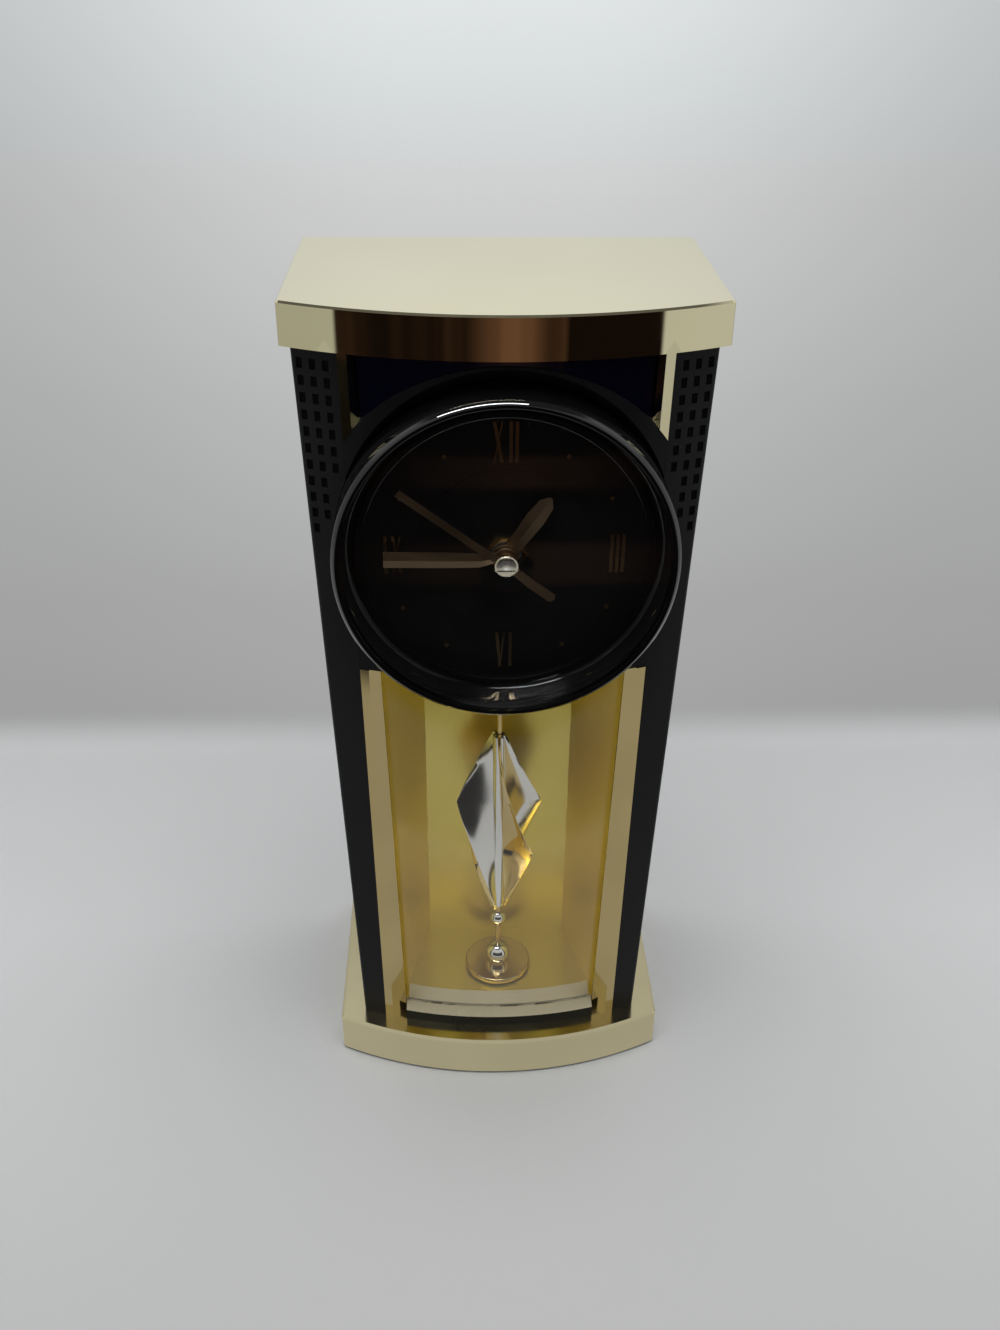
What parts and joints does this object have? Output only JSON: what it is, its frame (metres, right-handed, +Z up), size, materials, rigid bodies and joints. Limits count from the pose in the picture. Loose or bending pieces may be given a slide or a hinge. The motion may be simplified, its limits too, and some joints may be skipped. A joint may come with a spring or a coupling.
{
  "type": "desk pendulum clock",
  "caption": "Desk clock with a round black dial drum over a windowed gold chamber, where a twisted-vane torsion pendulum turns on its spindle.",
  "frame": {"origin": "on the table under the middle of the clock's width and depth", "axes": "+Z up, the dial faces -Y, +X to the viewer's right of someone who reads the dial"},
  "size_m": [0.108, 0.082, 0.2413],
  "materials": {
    "champagne_lacquer": "champagne-gold metallic lacquer",
    "black_lacquer": "satin black lacquer",
    "navy_lacquer": "gloss navy lacquer",
    "drum_black": "gloss black",
    "dial_black": "satin black, faintly brushed centre",
    "clear_glass": "clear, polished",
    "clear_acrylic": "clear, polished",
    "silver_bright": "polished silver colour",
    "hand_metal": "polished pale gold, ridged",
    "reflector_gold": "gold-coloured mirror finish",
    "sill_silver": "light silver",
    "vane_silver": "polished silver colour",
    "vane_gold": "polished gold colour",
    "brass_turned": "turned",
    "steel_plated": "bright plated",
    "gear_white": "moulded",
    "movement_black": "moulded, fine texture",
    "copper_winding": "enamelled wire",
    "board_green": "lacquered",
    "rubber_black": "matte",
    "cell_jacket": "plain shrink jacket"
  },
  "bodies": {
    "case": {"top_cap": "champagne_lacquer", "base_plinth": "champagne_lacquer", "base_plate": "black_lacquer", "rubber_feet": "rubber_black", "left_pillar": "black_lacquer", "right_pillar": "black_lacquer", "bottom_rail": "black_lacquer", "window_sill": "sill_silver", "upper_panel": "navy_lacquer", "drum_surround": "black_lacquer", "upper_left_trim": "champagne_lacquer", "upper_right_trim": "champagne_lacquer", "lower_left_trim": "champagne_lacquer", "lower_right_trim": "champagne_lacquer", "rear_housing": "black_lacquer", "case_screws": "steel_plated", "dial_drum": "drum_black", "inner_ring": "silver_bright", "dial_lens": "clear_glass", "dial_plate": "dial_black", "dial_centre": "dial_black", "hour_markers": "hand_metal", "movement_front_case": "movement_black", "movement_back_case": "movement_black", "fixing_nut": "brass_turned", "bearing_plate": "steel_plated", "stator": "steel_plated", "motor_coil": "copper_winding", "circuit_board": "board_green", "movement_battery": "cell_jacket", "battery_contacts": "steel_plated", "window_pane": "clear_acrylic", "chamber_reflector": "reflector_gold", "chamber_floor": "reflector_gold", "pendulum_bearings": "brass_turned", "drive_coil": "copper_winding", "drive_board": "board_green", "drive_battery": "cell_jacket", "drive_tray": "movement_black"},
    "cover": {"back_cover": "black_lacquer"},
    "pendulum": {"pendulum_spindle": "brass_turned", "silver_vanes": "vane_silver", "gold_vanes": "vane_gold", "pendulum_bead": "vane_silver", "pendulum_ball": "vane_silver", "pendulum_foot": "brass_turned", "foot_magnets": "steel_plated"},
    "minute_body": {"cannon_pinion": "gear_white", "minute_hand": "hand_metal"},
    "hour_body": {"hour_wheel": "gear_white", "hour_hand": "hand_metal"},
    "motion_body": {"minute_wheel": "gear_white"},
    "knob_body": {"setting_knob": "movement_black"},
    "second_body": {"second_wheel": "brass_turned", "second_hand": "hand_metal", "hub_cap": "hand_metal"},
    "rotor_body": {"rotor": "gear_white"},
    "step_body": {"step_wheel": "gear_white"},
    "third_body": {"third_wheel": "gear_white"},
    "centre_body": {"centre_wheel": "gear_white"}
  },
  "joints": [
    {"name": "minute_hand_turn", "type": "hinge", "parent": "case", "child": "minute_body", "pos_m": [0, -0.02465, 0.1801], "axis": [0, 1, 0], "continuous": true},
    {"name": "hour_hand_turn", "type": "hinge", "parent": "case", "child": "hour_body", "pos_m": [0, -0.02465, 0.1801], "axis": [0, 1, 0], "continuous": true},
    {"name": "minute_wheel_turn", "type": "hinge", "parent": "case", "child": "motion_body", "pos_m": [0.0052, -0.02465, 0.1771], "axis": [0, 1, 0], "continuous": true},
    {"name": "setting_knob_turn", "type": "hinge", "parent": "case", "child": "knob_body", "pos_m": [0.01111, -0.02465, 0.17606], "axis": [0, 1, 0], "continuous": true},
    {"name": "second_hand_turn", "type": "hinge", "parent": "case", "child": "second_body", "pos_m": [0, -0.02465, 0.1801], "axis": [0, 1, 0], "continuous": true},
    {"name": "rotor_turn", "type": "hinge", "parent": "case", "child": "rotor_body", "pos_m": [0.00397, -0.02465, 0.19081], "axis": [0, 1, 0], "continuous": true},
    {"name": "step_wheel_turn", "type": "hinge", "parent": "case", "child": "step_body", "pos_m": [0.003, -0.02465, 0.1853], "axis": [0, 1, 0], "continuous": true},
    {"name": "third_wheel_turn", "type": "hinge", "parent": "case", "child": "third_body", "pos_m": [-0.00624, -0.02465, 0.1837], "axis": [0, 1, 0], "continuous": true},
    {"name": "centre_wheel_turn", "type": "hinge", "parent": "case", "child": "centre_body", "pos_m": [0, -0.02465, 0.1801], "axis": [0, 1, 0], "continuous": true},
    {"name": "pendulum_spin", "type": "hinge", "parent": "case", "child": "pendulum", "pos_m": [0, -0.00605, 0.0152], "axis": [0, 0, 1], "continuous": true},
    {"name": "back_cover_tilt", "type": "hinge", "parent": "case", "child": "cover", "pos_m": [0, 0.03695, 0.0198], "axis": [-1, 0, 0], "range_deg": [0, 90]}
  ],
  "couplings": [
    {"joint": "hour_hand_turn", "follows": "minute_hand_turn", "ratio": 0.083333},
    {"joint": "minute_wheel_turn", "follows": "minute_hand_turn", "ratio": -0.33333},
    {"joint": "setting_knob_turn", "follows": "minute_hand_turn", "ratio": 1},
    {"joint": "rotor_turn", "follows": "second_hand_turn", "ratio": 30},
    {"joint": "step_wheel_turn", "follows": "second_hand_turn", "ratio": -5},
    {"joint": "third_wheel_turn", "follows": "second_hand_turn", "ratio": -0.125},
    {"joint": "centre_wheel_turn", "follows": "second_hand_turn", "ratio": 0.016667}
  ]
}
